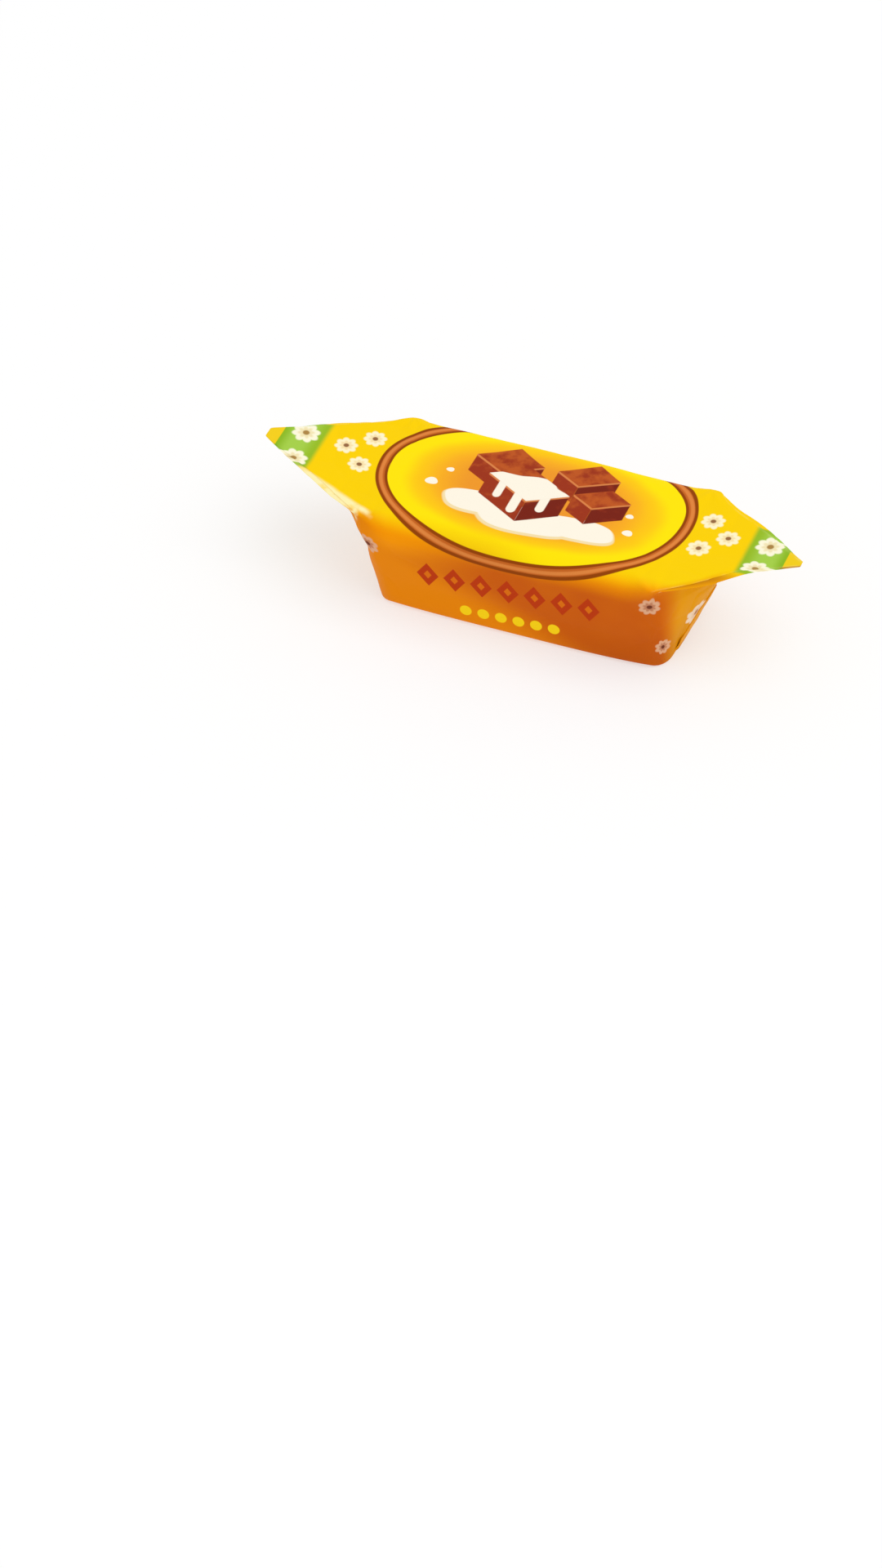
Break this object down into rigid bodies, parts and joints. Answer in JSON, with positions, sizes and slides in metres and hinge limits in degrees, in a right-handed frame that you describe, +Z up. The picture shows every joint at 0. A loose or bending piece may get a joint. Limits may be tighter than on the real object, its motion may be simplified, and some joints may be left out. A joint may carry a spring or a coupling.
{
  "type": "wrapped caramel candy",
  "caption": "Oblong caramel bar in a printed waxed paper wrapper, broad side up on a narrower base, each end folded like an envelope with a flat pointed corner standing out level with the top.",
  "frame": {"origin": "on the surface that the candy lies on, under the middle between its two points", "axes": "+X along the bar from the left point to the right one, +Y across it to its back, +Z up through the broad top"},
  "size_m": [0.07, 0.0206, 0.0154],
  "materials": {
    "waxed_paper": "printed waxed paper, semi-gloss"
  },
  "bodies": {
    "root": {"wrapped_caramel": "waxed_paper"}
  },
  "joints": []
}
